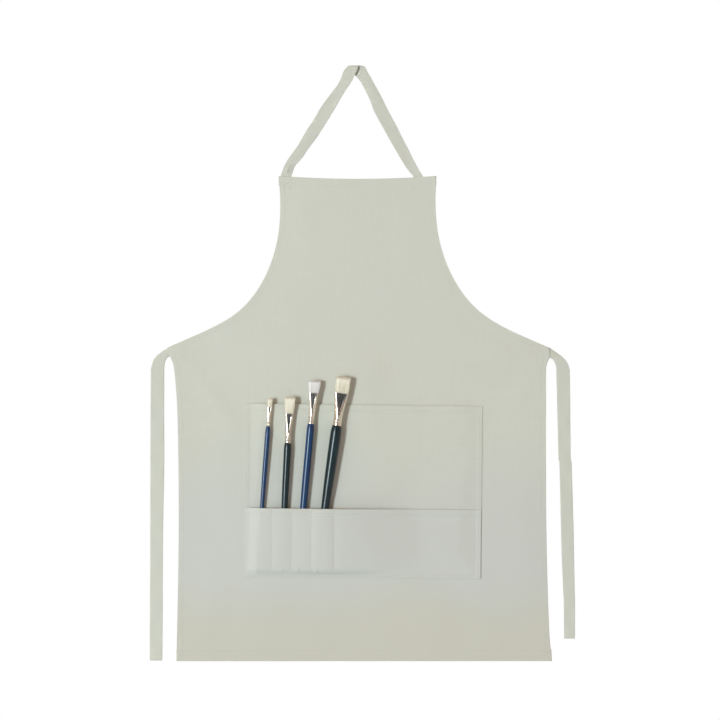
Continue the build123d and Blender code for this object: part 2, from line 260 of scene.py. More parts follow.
def add_object(name, data):
    obj = bpy.data.objects.new(name, data)
    bpy.context.scene.collection.objects.link(obj)
    return obj


def new_object(name, verts, faces, uv, sharp=()):
    """A smooth-shaded closed mesh; uv holds each vertex's place on the flat cloth, in metres."""
    mesh = bpy.data.meshes.new(name)
    mesh.from_pydata((np.asarray(verts) * MM).tolist(), [], [list(map(int, f)) for f in faces])
    mesh.polygons.foreach_set("use_smooth", np.ones(len(mesh.polygons), bool))
    loops = np.empty(len(mesh.loops), int)
    mesh.loops.foreach_get("vertex_index", loops)
    layer = mesh.uv_layers.new(name="cloth")
    layer.uv.foreach_set("vector", (np.asarray(uv)[loops]).astype(np.float32).ravel())
    if sharp:
        pairs = {frozenset(map(int, pair)) for pair in sharp}
        for edge in mesh.edges:
            edge.use_edge_sharp = frozenset(edge.vertices) in pairs
    mesh.validate()
    work = bmesh.new()
    work.from_mesh(mesh)
    bmesh.ops.recalc_face_normals(work, faces=work.faces)
    work.to_mesh(mesh)
    work.free()
    return add_object(name, mesh)


def finish(obj, slot, material=None):
    """Gives a piece its material and its slot, which have one name unless another material is named."""
    obj.data.materials.append(MATERIALS[material or slot])
    return obj


def grid_faces(rows, cols, first=0):
    i, j = np.meshgrid(np.arange(rows - 1), np.arange(cols - 1), indexing="ij")
    a = first + i * cols + j
    return np.stack([a, a + cols, a + cols + 1, a + 1], -1).reshape(-1, 4)


def surface_normals(grid):
    """Unit normals of a grid of places, facing the side from which its columns run left to right."""
    down = np.gradient(grid, axis=0)
    across = np.gradient(grid, axis=1)
    return unit(np.cross(across, down))


ROUND = 3  # extra rings round a sheet's edge


def sheet_mesh(name, mid, half, flat, slot="canvas", cut=None):
    """A closed sheet of cloth from its middle layer, with a rounded edge all round.

    mid has rows from top to bottom and columns from left to right, seen from the front. half is half its
    thickness. cut is a row, first or last, whose edge is left square."""
    rows, cols = mid.shape[:2]
    size = rows * cols
    normal = -surface_normals(mid)
    at = np.arange(size).reshape(rows, cols)
    loop = np.concatenate([at[0], at[1:, -1], at[-1, -2::-1], at[-2:0:-1, 0]])
    li, lj = np.divmod(loop, cols)
    ring, n = mid[li, lj], normal[li, lj]
    ahead = np.roll(ring, -1, axis=0) - ring
    behind = ring - np.roll(ring, 1, axis=0)
    out = unit(unit(np.cross(ahead, n)) + unit(np.cross(behind, n)))
    inside = mid[np.clip(li, 1, rows - 2), np.clip(lj, 1, cols - 2)]
    if np.mean(np.sum(out * (ring - inside), axis=1)) < 0:
        out = -out
    sharp = []
    if cut is not None:
        row = at[cut]
        out[np.isin(loop, row)] = 0
        for face in (row, size + row):
            sharp += zip(face, face[1:])
    verts = [(mid + normal * half).reshape(-1, 3), (mid - normal * half).reshape(-1, 3)]
    uv = [flat.reshape(-1, 2), flat.reshape(-1, 2)]
    circles = [loop]
    for step in range(ROUND):
        angle = math.pi * (step + 1) / (ROUND + 1)
        verts.append(ring + half * (math.cos(angle) * n + math.sin(angle) * out))
        uv.append(flat[li, lj])
        circles.append(2 * size + step * len(loop) + np.arange(len(loop)))
    circles.append(size + loop)
    faces = [grid_faces(rows, cols), grid_faces(rows, cols, size)[:, ::-1]]
    for a, b in zip(circles, circles[1:]):
        faces.append(np.stack([a, b, np.roll(b, -1), np.roll(a, -1)], -1)[:, ::-1])
    return finish(new_object(name, np.vstack(verts), np.vstack(faces), np.vstack(uv), sharp), slot)


def tube_faces(rings, sides, first=0):
    """Faces of a tube with closed ends, from equal rings of places."""
    a = first + np.arange(sides)
    b = np.roll(a, -1)
    faces = []
    for step in range(0, (rings - 1) * sides, sides):
        faces += (np.stack([a, b, b + sides, a + sides], -1) + step).tolist()
    return faces + [a[::-1].tolist(), (a + (rings - 1) * sides).tolist()]


def swept(name, rings, uv=None):
    """A closed solid from a list of equal rings of places."""
    rings = np.asarray(rings, float)
    if uv is None:
        uv = np.zeros((*rings.shape[:2], 2))
    return new_object(name, rings.reshape(-1, 3), tube_faces(*rings.shape[:2]), np.reshape(uv, (-1, 2)))


def spaced(line, pitch):
    """Places an even pitch apart along a line of places, with the directions there."""
    arc = arc_lengths(line)
    count = max(int(arc[-1] // pitch), 1)
    at = (arc[-1] - (count - 1) * pitch) / 2 + pitch * np.arange(count)
    place, ahead, before = (
        np.stack([np.interp(at + shift, arc, line[:, k]) for k in range(3)], -1) for shift in (0, 0.4, -0.4)
    )
    return place, unit(ahead - before)


# Along a stitch as a share of its length, height and size as shares of its radius.
STITCH_RINGS = [(-0.5, -0.75, 0.55), (-0.34, 0.1, 1), (0, 0.35, 1.05), (0.34, 0.1, 1), (0.5, -0.75, 0.55)]
STITCH_SIDES = 6


def stitches(name, lines, out, radius=THREAD, length=STITCH, pitch=STITCH_PITCH):
    """Separate stitches along lines of places, dipping into the cloth at both ends. out leads off it."""
    turn = np.linspace(0, 2 * math.pi, STITCH_SIDES, endpoint=False)
    up = np.array(out, float)
    verts, faces = [], []
    for line in lines:
        for centre, way in zip(*spaced(line, pitch)):
            circle = np.outer(np.cos(turn), unit(np.cross(way, up))) + np.outer(np.sin(turn), up)
            faces += tube_faces(len(STITCH_RINGS), STITCH_SIDES, len(verts) * STITCH_SIDES)
            for along, lift, size in STITCH_RINGS:
                verts.append(centre + way * along * length + (up * lift + circle * size) * radius)
    verts = np.vstack(verts)
    return finish(new_object(name, verts, faces, verts[:, [0, 2]] * MM), "thread")


# --- Materials ---


class Nodes:
    """The nodes of a material or world under construction, with short calls to add and join them."""

    def __init__(self, owner):
        owner.use_nodes = True
        self.owner = owner
        self.tree = owner.node_tree

    def put(self, node, values):
        for key, value in values.items():
            if isinstance(value, bpy.types.NodeSocket):
                self.tree.links.new(value, node.inputs[key])
            else:
                node.inputs[key].default_value = value

    def add(self, kind, inputs=None, **settings):
        node = self.tree.nodes.new("ShaderNode" + kind)
        for key, value in settings.items():
            setattr(node, key, value)
        self.put(node, inputs or {})
        return node

    def math(self, operation, a, b=0.0, clamp=False):
        return self.add("Math", {0: a, 1: b}, operation=operation, use_clamp=clamp).outputs[0]

    def plus(self, a, b):
        return self.math("ADD", a, b)

    def times(self, a, b):
        return self.math("MULTIPLY", a, b)

    def vector(self, operation, inputs):
        return self.add("VectorMath", inputs, operation=operation).outputs[0]

    def split(self, vector):
        return self.add("SeparateXYZ", {0: vector}).outputs

    def mix(self, share, a, b, blend="MIX"):
        node = self.add("Mix", {0: share, 6: a, 7: b}, data_type="RGBA", blend_type=blend)
        return node.outputs[2]

    def noise(self, vector, scale, detail=2.0, rough=0.5):
        inputs = {"Vector": vector, "Scale": scale, "Detail": detail, "Roughness": rough}
        return self.add("TexNoise", inputs).outputs["Fac"]

    def remap(self, value, low, high, to_low=0.0, to_high=1.0):
        inputs = {0: value, 1: low, 2: high, 3: to_low, 4: to_high}
        return self.add("MapRange", inputs).outputs[0]

    def scaled(self, vector, x, y, z=1.0):
        return self.add("Mapping", {"Vector": vector, "Scale": (x, y, z)}).outputs[0]

    def bump(self, height, distance, strength, **normal):
        inputs = {"Height": height, "Distance": distance, "Strength": strength, **normal}
        return self.add("Bump", inputs).outputs[0]

    def surface(self, **values):
        shader = self.tree.nodes["Principled BSDF"]
        self.put(shader, {key.replace("_", " "): value for key, value in values.items()})
        return self.owner


def material_nodes(name):
    """A new material's nodes, with the places of the piece that it is on."""
    n = Nodes(bpy.data.materials.new(name))
    return n, n.add("TexCoord").outputs["Object"]


def weave_height(n, place, pitch, twill=False):
    """Height of a woven cloth's threads over its flat coordinates: plain weave, or a diagonal twill."""
    u, v = (n.times(n.split(place)[k], math.pi / pitch) for k in (0, 1))
    if twill:
        wave = n.math("SINE", n.plus(n.times(u, 0.8), v))
        thread = n.math("ABSOLUTE", n.math("SINE", n.times(u, 2.0)))
        return n.plus(n.times(wave, 0.5), n.times(thread, 0.4))
    su, sv = n.math("SINE", u), n.math("SINE", v)
    over = n.math("ADD", n.times(n.times(su, sv), 1.6), 0.5, clamp=True)
    warp = n.times(n.math("ABSOLUTE", su), over)
    weft = n.times(n.math("ABSOLUTE", sv), n.math("SUBTRACT", 1.0, over))
    return n.plus(warp, weft)


def slub_noise(n, uv, scale):
    """Thick and thin places along threads; each thread is shifted on its own, so that none line up."""
    across = [float(value == max(scale)) for value in scale]
    shift = n.times(n.noise(n.scaled(uv, *np.multiply(across, scale)), 0.7, 0.0), 0.6)
    along = (1 - across[0], 1 - across[1], 0.0)
    place = n.vector("ADD", {0: uv, 1: n.vector("SCALE", {0: along, "Scale": shift})})
    return n.noise(n.scaled(place, *scale), 1.0)


def cloth(name, pitch, twill=False, bands=()):
    """Woven cotton: threads with slubs, uneven yarn colour, seed flecks, painted shade between the threads,
    and a soft sheen.
    """
    n = Nodes(bpy.data.materials.new(name))
    uv = n.add("UVMap", uv_map="cloth").outputs[0]
    wobble = n.add("TexNoise", {"Vector": uv, "Scale": 260.0, "Detail": 1.0}).outputs["Color"]
    shift = n.vector("MULTIPLY", {0: wobble, 1: (0.0006, 0.0006, 0.0)})
    threads = weave_height(n, n.vector("ADD", {0: uv, 1: shift}), pitch, twill)
    slub = n.plus(slub_noise(n, uv, (900.0, 26.0)), slub_noise(n, uv, (22.0, 1000.0)))
    colour = n.mix(n.remap(slub, 0.75, 1.25), CLOTH_DARK, CLOTH_LIGHT)
    colour = n.mix(n.remap(n.noise(uv, 9.0, 3.0), 0.35, 0.7, 0.0, 0.55), colour, CLOTH_COOL)
    for top, bottom, share, tint in bands:
        level = n.plus(n.split(uv)[1], n.times(n.noise(uv, 5.0), 0.12))
        colour = n.mix(n.times(n.remap(level, top, bottom), share), colour, tint)
    cells = n.add("TexVoronoi", {"Vector": uv, "Scale": 150.0, "Randomness": 1.0}).outputs
    rare = n.math("GREATER_THAN", n.add("SeparateColor", {0: cells["Color"]}).outputs[0], 0.88)
    fleck = n.times(n.remap(cells["Distance"], 0.05, 0.025), rare)
    colour = n.mix(n.times(fleck, 0.35), colour, (0.30, 0.24, 0.14, 1))
    # Painted shade: the low places of the weave, between the threads, are made up to 7% darker.
    shade = n.remap(threads, 0.1, 0.7, 0.93, 1.0)
    colour = n.mix(1.0, colour, n.add("CombineColor", {0: shade, 1: shade, 2: shade}).outputs[0], "MULTIPLY")
    fine = n.bump(n.plus(threads, n.times(slub, 0.8)), 0.00016, 0.55)
    soft = n.bump(n.noise(uv, 70.0, 3.0), 0.0009, 0.35, Normal=fine)
    rough = n.remap(threads, 0.0, 1.0, 0.95, 0.82)
    n.surface(Base_Color=colour, Roughness=rough, Normal=soft, Specular_IOR_Level=0.22)
    return n.surface(Sheen_Weight=0.12, Sheen_Roughness=0.45)


def thread(name):
    """Twisted cotton thread, a little yellower than the cloth."""
    n, place = material_nodes(name)
    ply = n.noise(n.scaled(place, 900.0, 900.0, 900.0), 1.0)
    colour = n.mix(n.remap(ply, 0.3, 0.7), (0.50, 0.49, 0.40, 1), (0.70, 0.69, 0.60, 1))
    n.surface(Base_Color=colour, Roughness=n.remap(ply, 0.0, 1.0, 0.5, 0.7))
    return n.surface(Normal=n.bump(ply, 0.0001, 0.5), Sheen_Weight=0.1)


def lacquer(name, deep, bright, edge):
    """Coloured lacquer over turned wood: faint grain under a clear coat, worn a little paler in places."""
    n, place = material_nodes(name)
    grain = n.noise(n.scaled(place, 420.0, 420.0, 26.0), 1.0, 4.0, 0.6)
    cloud = n.noise(place, 34.0)
    colour = n.mix(n.remap(grain, 0.35, 0.7), (*deep, 1), (*bright, 1))
    colour = n.mix(n.remap(cloud, 0.58, 0.75, 0.0, 0.45), colour, (*edge, 1))
    scuffs = n.noise(n.scaled(place, 160.0, 160.0, 700.0), 1.0, 3.0)
    n.surface(Base_Color=colour, Roughness=n.remap(scuffs, 0.3, 0.75, 0.26, 0.42))
    n.surface(Normal=n.bump(grain, 0.00008, 0.12), Coat_Weight=0.34, Coat_Roughness=0.24)
    return n.surface(Specular_IOR_Level=0.3)


def ferrule_metal(name):
    """Thin plated brass, polished and slightly tarnished, with drawing lines and small dents."""
    n, place = material_nodes(name)
    tarnish = n.noise(place, 120.0, 4.0, 0.6)
    lines = n.noise(n.scaled(place, 900.0, 900.0, 60.0), 1.0, 3.0)
    colour = n.mix(n.remap(tarnish, 0.4, 0.72), (0.93, 0.89, 0.80, 1), (0.80, 0.71, 0.56, 1))
    n.surface(Base_Color=colour, Metallic=1.0, Roughness=n.remap(lines, 0.3, 0.75, 0.13, 0.26))
    return n.surface(Normal=n.bump(lines, 0.00006, 0.3))


def bristle(name, root, tip):
    """Hog bristle, whose shade differs from hair to hair."""
    n = Nodes(bpy.data.materials.new(name))
    place = n.add("UVMap", uv_map="cloth").outputs[0]
    each = n.noise(n.scaled(place, 900.0, 0.0), 1.0, 1.0)
    colour = n.mix(n.remap(n.split(place)[1], 0.0, 1.0), (*root, 1), (*tip, 1))
    colour = n.mix(n.remap(each, 0.35, 0.7, 0.0, 0.4), colour, (0.66, 0.58, 0.42, 1))
    n.surface(Base_Color=colour, Roughness=n.remap(each, 0.2, 0.8, 0.42, 0.6))
    n.surface(Normal=n.bump(n.noise(n.scaled(place, 4000.0, 6.0), 1.0), 0.00008, 0.4))
    return n.surface(Sheen_Weight=0.1, Specular_IOR_Level=0.4)


CLOTH_LIGHT = (0.640, 0.650, 0.565, 1)
CLOTH_DARK = (0.590, 0.600, 0.515, 1)
CLOTH_COOL = (0.610, 0.625, 0.555, 1)
CLOTH_BANDS = [  # levels between which the canvas takes on a tint, how much of it, and the tint
    (-0.62, -0.78, 0.75, (0.585, 0.598, 0.560, 1)),
    (-0.90, -0.98, 0.8, (0.590, 0.580, 0.492, 1)),
]
MATERIALS = {
    name: make(name, *values)
    for name, make, *values in [
        ("canvas", cloth, 0.00072, False, CLOTH_BANDS),
        ("tape", cloth, 0.00095, True),
        ("thread", thread),
        ("blue_lacquer", lacquer, (0.003, 0.026, 0.09), (0.006, 0.058, 0.165), (0.028, 0.036, 0.085)),
        ("teal_lacquer", lacquer, (0.002, 0.011, 0.014), (0.004, 0.028, 0.036), (0.008, 0.026, 0.032)),
        ("ferrule_metal", ferrule_metal),
        ("bristle", bristle, (0.82, 0.78, 0.62), (0.93, 0.91, 0.78)),
        ("white_bristle", bristle, (0.80, 0.79, 0.76), (0.84, 0.85, 0.86)),
    ]
}


# --- Body panel ---


def panel_levels():
    """Levels of the panel's rows, close together where its edge runs nearly level."""
    levels = np.interp(np.arange(0, EDGE_ARC[-1], 4.4), EDGE_ARC, EDGE[:, 1])
    levels = np.clip(np.append(levels, HEMLINE), HEMLINE + PANEL_INSET, BIB_TOP - PANEL_INSET)
    keep = [levels[0]]
    for level in levels[1:]:
        if keep[-1] - level > 0.3:
            keep.append(level)
    return np.array(keep)


EDGE_COLUMNS = np.array([0.0, 1.2, 3.0, 5.0, 7.2, 9.4, 11.6, 14.0, 17.0, 21.0])  # inwards from the edge
MIDDLE_COLUMNS = 116


def panel():
    """The apron's body, with its flat area in square metres."""
    levels = panel_levels()
    half = by_level(EDGE[:, 0], levels) - PANEL_INSET * np.sqrt(1 + by_level(EDGE_SLOPE, levels) ** 2)
    rows = []
    for reach, centre in zip(half, middle(levels)):
        inner = np.linspace(EDGE_COLUMNS[-1] - reach, reach - EDGE_COLUMNS[-1], MIDDLE_COLUMNS)
        edge = EDGE_COLUMNS[:-1] - reach
        rows.append(centre + np.concatenate([edge, inner, -edge[::-1]]))
    x = np.array(rows)
    z = np.repeat(levels[:, None], x.shape[1], axis=1)
    area = 2 * np.trapz(by_level(EDGE[:, 0], np.arange(BIB_TOP, HEMLINE, -1)), dx=MM) * MM
    return sheet_mesh("panel", lay(x, z), CANVAS / 2, np.stack([x, z], -1) * MM), float(area)


def strip_profile(width, thick):
    """Section of a turned hem, as steps inwards from the edge and steps back from the panel's middle."""
    fold = (CANVAS + thick) / 2
    centre = CANVAS / 2
    low = centre - fold
    arc = [
        (fold + fold * math.cos(a), centre + (fold - 0.02) * math.sin(a))
        for a in np.radians(np.linspace(-90, -270, 9))
    ]
    back = centre + thick
    return np.array(
        [(2.8, -0.2), (1.7, low - 0.02)]
        + arc
        + [(3, back + 0.06), (6, back), (width - 2.6, back), (width - 1.9, back - 0.16), (width - 1.2, back)]
        + [(width - 0.4, back - 0.05), (width, back - thick * 0.45), (width - 0.2, 0.3), (3.0, 0.2)]
    )


def hem(name, edge, inward, width, thick=CANVAS):
    """A turned hem along an edge line of the flat panel."""
    profile = strip_profile(width, thick)
    flat = edge[:, None] + inward[:, None] * profile[None, :, :1]
    x, z = flat[..., 0], flat[..., 1]
    return finish(swept(f"{name}_cloth", lay(x, z, profile[:, 1]), flat * MM), "canvas")


def edge_line(side, curve, start=0.0, step=4.0):
    """Places along one side's edge of the flat panel, with the directions into the cloth."""
    arc = arc_lengths(curve)
    at = np.linspace(start, arc[-1], int((arc[-1] - start) / step) + 1)
    z = np.interp(at, arc, curve[:, 1])
    line = np.stack([side * np.interp(at, arc, curve[:, 0]) + middle(z), z], -1)
    way = unit(np.gradient(line, axis=0))
    return line, np.stack([side * way[:, 1], -side * way[:, 0]], -1)


def level_line(z, inset=0.0, step=4.0):
    """Places across the flat panel at a level."""
    half = float(by_level(EDGE[:, 0], z)) - inset
    centre = float(middle(z))
    x = np.linspace(centre - half, centre + half, int(2 * half / step) + 1)
    return np.stack(floats(x, z), -1)


def panel_hems():
    """Each hem, by the name of the node that it replaces."""
    ends = [("bib_top_hem", BIB_TOP, -1.0, TOP_HEM), ("bottom_hem", HEMLINE, 1.0, BOTTOM_HEM)]
    hems = {}
    for name, level, inward, width in ends:
        line = level_line(level)
        hems[name] = hem(name, line, np.broadcast_to([0.0, inward], line.shape), width, 1.0)
    for side_name, side in SIDES.items():
        name = f"armhole_hem_{side_name}"
        hems[name] = hem(name, *edge_line(side, ARMHOLE_CURVE, 3.0), SIDE_HEM, 0.9)
        name = f"side_hem_{side_name}"
        line, inward = edge_line(side, SIDE_CURVE)
        keep = line[:, 1] > HEMLINE + 2.0
        hems[name] = hem(name, line[keep], inward[keep], SIDE_HEM)
    return hems


def panel_thread():
    """Topstitching along every hem of the panel, on both faces."""
    flat_lines = [level_line(BIB_TOP - TOP_HEM + 2, 4), level_line(HEMLINE + BOTTOM_HEM - 2, 4)]
    for side in SIDES.values():
        for curve in (ARMHOLE_CURVE, SIDE_CURVE):
            line, inward = edge_line(side, curve, 4.0)
            flat_lines.append((line + inward * (SIDE_HEM - 2))[:-2])
    made = []
    for face, place in (("front", -CANVAS / 2), ("back", HEM_BACK)):
        lines = [lay(*line.T, place - SUNK) for line in flat_lines]
        made.append(stitches(f"panel_thread_{face}", lines, FACES[face]))
    return made


def sewn_box(sides, levels, place):
    """Lines of a sewn box with its two diagonals, on the panel."""
    corners = np.array([(sides[k], levels[m]) for k, m in ((0, 0), (1, 0), (1, 1), (0, 1))])
    share = np.linspace(0, 1, 12)[:, None]
    ends = ((0, 1), (1, 2), (2, 3), (3, 0), (0, 2), (1, 3))
    return [lay(*between(corners[a], corners[b], share).T, place) for a, b in ends]


# --- Neck strap ---

STRAP_RADIUS = 3.2  # middle of the tape round the hook
STRAP_FEET = {"left": -126.0, "right": 118.0}
LEG_LEVELS = [-2.6, -9, -17, -26, -45, -63, -82, -101, -119, -138, -157, -175, -185, -194, -205, -231]
LEG_SHAPE = {  # sideways shift from the straight leg, and level width, at each of those levels
    "left": (
        [-2.3, -2.0, -0.8, 0.9, 0.3, -0.95, -1.3, -0.85, -1.6, -1.85, -3.5, -5.25, -6.5, -4.9, -2.0, 0.0],
        [20, 23, 22.2, 21.5, 21.4, 24.3, 26.4, 25.6, 26.4, 24.5, 22.6, 22.8, 19.2, 19.0, 19.0, 22.5],
    ),
    "right": (
        [5.5, 4.6, 5.0, 6.1, 5.9, 4.7, 1.9, 1.0, 0.4, -0.7, -1.1, -2.0, -1.8, -1.5, 0.4, 0.0],
        [27, 26.2, 25.4, 22.8, 22.6, 23.2, 25.7, 26.1, 25.6, 24.4, 23.4, 21.5, 20.6, 19.2, 17.0, 22.5],
    ),
}
STRAP_COLUMNS = 15
STRAP_BOX = 8.5  # half the width of the box that sews a foot down
STRAP_BOX_LEVELS = (BIB_TOP - 23.5, BIB_TOP - 5.0)


def strap_rows():
    """Rows of the strap from its left sewn end, over the hook, to its right sewn end: place and width."""
    z = np.concatenate([np.arange(-231.0, -210.0, 3.5), np.arange(-210.0, -3.0, 2.6), [LEG_LEVELS[0]]])
    behind = HEM_BACK + TAPE / 2 + 0.1
    legs = {}
    for name, side in SIDES.items():
        shift, width = (smooth_interp(z, LEG_LEVELS, values) for values in LEG_SHAPE[name])
        straight = STRAP_FEET[name] * np.maximum(z, BIB_TOP) / BIB_TOP
        y = between(behind, side * STRAP_RADIUS, smooth((z - BIB_TOP) / 202.0) ** 0.8)
        legs[name] = np.stack([straight + shift, y, z, width], -1)
    a = np.linspace(0, math.pi, 11)[1:-1]
    over = (1 - np.cos(a)) / 2
    y, z = -STRAP_RADIUS * np.cos(a), LEG_LEVELS[0] + STRAP_RADIUS * np.sin(a)
    hook = np.stack([-3.9 + 10.9 * over, y, z, 20 + 7 * over - 6 * np.sin(a)], -1)
    return np.vstack([legs["left"], hook, legs["right"][::-1]])


def smooth_interp(at, knots, values):
    """A smooth curve through values at falling knots."""
    curve = spline(np.stack([-np.asarray(knots, float), values], -1), 500)
    return np.interp(-np.asarray(at, float), *curve.T)


def neck_strap():
    """The strap's tape, curling a little where it hangs free, and its length in metres."""
    x, y, z, width = strap_rows().T[..., None]
    half = np.linspace(-1, 1, STRAP_COLUMNS)
    arc = arc_lengths(strap_rows()[:, :3])[:, None]
    free = smooth((-z - 4) / 14) * smooth((z + 203) / 12)
    low = smooth((z + 204) / 8) * smooth((-178 - z) / 12)
    curl = 0.45 * np.sin(arc / 41.0) + 0.3 * np.sin(arc / 17.0 + 1.0)
    tilt = 0.05 * np.sin(arc / 55.0 + 0.4) * half * width / 2
    push = free * (curl * half**2 + 0.5 * np.sin(arc / 29.0 + 0.6) + tilt)
    fold = 0.8 * half - 1.3 * bell(half + 0.1, 0.26)
    push = push + np.where(np.arange(len(z))[:, None] < len(z) / 2, low * fold, 0)
    across = x + half * width / 2
    y = y + push + lay(across, z)[..., 1] * smooth((-203 - z) / 4)
    grid = np.stack(floats(across, y, z), -1)
    flat = np.stack(floats(half * 0.011, arc * MM), -1)
    return sheet_mesh("neck_strap_tape", grid, TAPE / 2, flat, "tape"), float(arc[-1, 0] * MM)


# --- Waist ties ---

TIE_BACK = 1.9  # middle of a tie behind the panel's middle
TIE_BOX = ((19, 34), (-542.0, -527.5))  # the sewn box, inwards from the corner, and its levels
TIE_OUTER = [(-38, -524.5), (-16, -523.6), (0, -523.8), (6, -527.4)]  # outwards from the corner, and level
TIE_OUTER += [(12, -531.4), (18, -535.8), (23.8, -540.4), (28.4, -545.4)]
TIE_OUTER += [(32.4, -551.6), (35, -558.6), (36.8, -566)]
TIE_INNER = [(-38, -545), (-16, -544.6), (-4, -542.6), (2.5, -542.2)]
TIE_INNER += [(6.5, -545), (9.2, -549), (11.2, -554), (12.3, -560), (12.7, -570)]
TIE_FEET = {"left": (-372.0, -1108.7), "right": (401.0, -1067.7)}
TIE_SHIFT = {  # sideways from a straight line, at even steps down the hanging strip
    "left": [1.7, 1.9, 2.2, 1.8, 1.6, 1.8, 1.6],
    "right": [0.8, 0.2, -0.4, 1.2, 1.2, 1.9, 0.2],
}
TIE_WIDTHS = {  # as shares of the first
    "left": [1.0, 1.02, 1.04, 0.98, 0.95, 0.96, 0.95],
    "right": [1.0, 0.95, 0.90, 0.92, 0.92, 0.84, 0.80],
}
TIE_TURN = {"left": [0, 2, 4, 5, 6, 7, 7], "right": [0, 3, 4, 3, 4, 6, 8]}  # degrees
TIE_COLUMNS = 11
ROOT_ROWS = 44
CUT_AT = 0.62  # share of the soft shoulder where the root piece ends and the hanging strip begins


def corner_x(side):
    return side * CORNER[0] + float(middle(CORNER[1]))


def tie_grid(name):
    """Rows across one whole tie, from its sewn end to its foot, and how far along the tie each one is."""
    side = SIDES[name]
    corner = corner_x(side)
    s = np.linspace(-1, 1, TIE_COLUMNS)
    outer, inner = spline(TIE_OUTER, ROOT_ROWS)[:, None], spline(TIE_INNER, ROOT_ROWS)[:, None]
    out, z = np.moveaxis(between(outer, inner, ((s + 1) / 2)[:, None]), -1, 0)
    x = corner + side * out
    sunk = drape(x, z)[1]
    x = x + TIE_SHIFT[name][0] * smooth((-538 - z) / 22)
    root = np.stack([x, np.zeros_like(x), z - sunk], -1)
    last = root[-1]
    start = np.array([last[:, 0].mean() - TIE_SHIFT[name][0], last[:, 2].mean()])
    foot = np.array(TIE_FEET[name])
    t = np.linspace(0, 1, int((start[1] - foot[1]) / 4.0) + 1)[1:]
    tables = (TIE_SHIFT, TIE_WIDTHS, TIE_TURN)
    shift, size, turn = (smooth_interp(-t, -np.linspace(0, 1, 7), each[name])[:, None] for each in tables)
    t = t[:, None]
    half = (last[-1, 0] - last[0, 0]) / 2 * size
    turn = np.radians(turn)
    x = between(start[0], foot[0], t) + shift + s * half * np.cos(turn)
    y = side * s * np.abs(half) * np.sin(turn)
    z = between(start[1], foot[1], t) + (last[:, 2] - start[1]) * (1 - smooth(t / 0.03))
    grid = np.concatenate([root, np.stack([x, y, z], -1)])
    arc = arc_lengths(grid.mean(axis=1))
    out = side * (grid[..., 0] - corner)
    behind = TIE_BACK + 0.1 + lay(np.clip(grid[..., 0], -330, 345), np.maximum(grid[..., 2], -545))[..., 1]
    along = arc[:, None]
    bend = bell(along - 44, 9.0) * smooth((out + 4) / 10)
    hang = smooth((along - 70) / 60)
    y = TIE_BACK + hang * (0.6 * np.sin(along / 31.0) + 0.5 * np.sin(along / 13.0 + side) * s**2)
    y = y + bend * (1.6 * s**2 - 1.2 * bell(s - 0.55, 0.22))
    grid[..., 1] += np.where(out < -2, behind, y)
    return grid, np.stack(floats(s * 0.012, along * MM), -1), arc


def waist_tie(name):
    """A tie's root and strip, its grid of places, and the two lengths in metres."""
    grid, flat, arc = tie_grid(name)
    if grid[-1, 0, 0] > grid[-1, -1, 0]:  # columns run from left to right
        grid, flat = grid[:, ::-1], flat[:, ::-1]
    cut = int(ROOT_ROWS * CUT_AT)
    root = sheet_mesh(f"tie_root_{name}", grid[: cut + 1], TAPE / 2, flat[: cut + 1], "tape", cut=-1)
    strip = sheet_mesh(f"tie_strip_{name}", grid[cut:], TAPE / 2, flat[cut:], "tape", cut=0)
    return root, strip, grid, (arc[cut] * MM, (arc[-1] - arc[cut]) * MM)


def tie_end(grid):
    """The left tie's end, turned up behind it, with its row of stitches."""
    back = surface_normals(grid)
    mid = (grid + back * (TAPE / 2 + CANVAS / 2 - 0.15))[-5:]
    cloth = sheet_mesh("tie_end_hem_cloth", mid, CANVAS / 2, mid[..., [0, 2]] * MM, "tape")
    line = (grid - back * (TAPE / 2 + 0.05))[-4, 1:-1]
    return cloth, stitches("tie_end_thread", [line], FACES["front"])


# --- Pockets ---

POCKET_HALF = 221.5  # half the pockets' width
POCKET_MIDDLE = 16.0  # sideways
POCKET_CENTRE = -793.5  # level
POCKET_REACH = 161.0  # half the large pocket's height
POCKET_TURN = math.radians(0.6)
POCKET_HEM = 12.0
MOUTH_V = -32.5  # the brush pocket's open edge, from the pocket's middle
MOUTH = -826.0  # its level
MOUTH_HEM = 10.0
TURNED = 8.0  # cloth turned under along the pockets' sewn edges
BRUSH_PLANE = -6.8  # the backs of the sleeves, before the panel's middle layer
DIVIDERS = [-154.0, -117.5, -80.5, -38.0]  # sideways places of the lines between the sleeves
TACK_HEIGHT = 7.0
SEAM_STEPS = np.array([0, 1, 2.2, 3.6, 5, 6.4, 7.6, 8.4, 9.4, 11, 13.5, 17])  # inwards from a sewn edge
LARGE_MESH = dict(
    columns=3.2, rows=3.4, first_row=20, inset=0.4, rim_inset=0.6, rim_rows=2.2, rim_half=0.75, before=-0.1
)
TIER_MESH = dict(
    columns=1.9, rows=2.8, first_row=19.5, inset=0.9, rim_inset=1.0, rim_rows=1.9, rim_half=0.72, before=0.15
)


def pocket_place(u, v):
    """Places on the apron from places on the slightly crooked pocket."""
    u, v = floats(u, v)
    c, s = math.cos(POCKET_TURN), math.sin(POCKET_TURN)
    return POCKET_MIDDLE + u * c + v * s, POCKET_CENTRE - u * s + v * c


def pocket_edge(u, v):
    """Distance from the pocket's sewn edges."""
    return np.minimum(POCKET_HALF - np.abs(u), v + POCKET_REACH)


def pocket_room(u, v):
    """How free the large pocket is from its sewn edges, from 0 to 1."""
    return smooth((pocket_edge(u, v) - 3) / 42)


def turned_under(u, v, depth):
    """The step that the cloth turned under along the sewn edges makes."""
    return depth * (1 - smooth((pocket_edge(u, v) - TURNED) / 1.6))


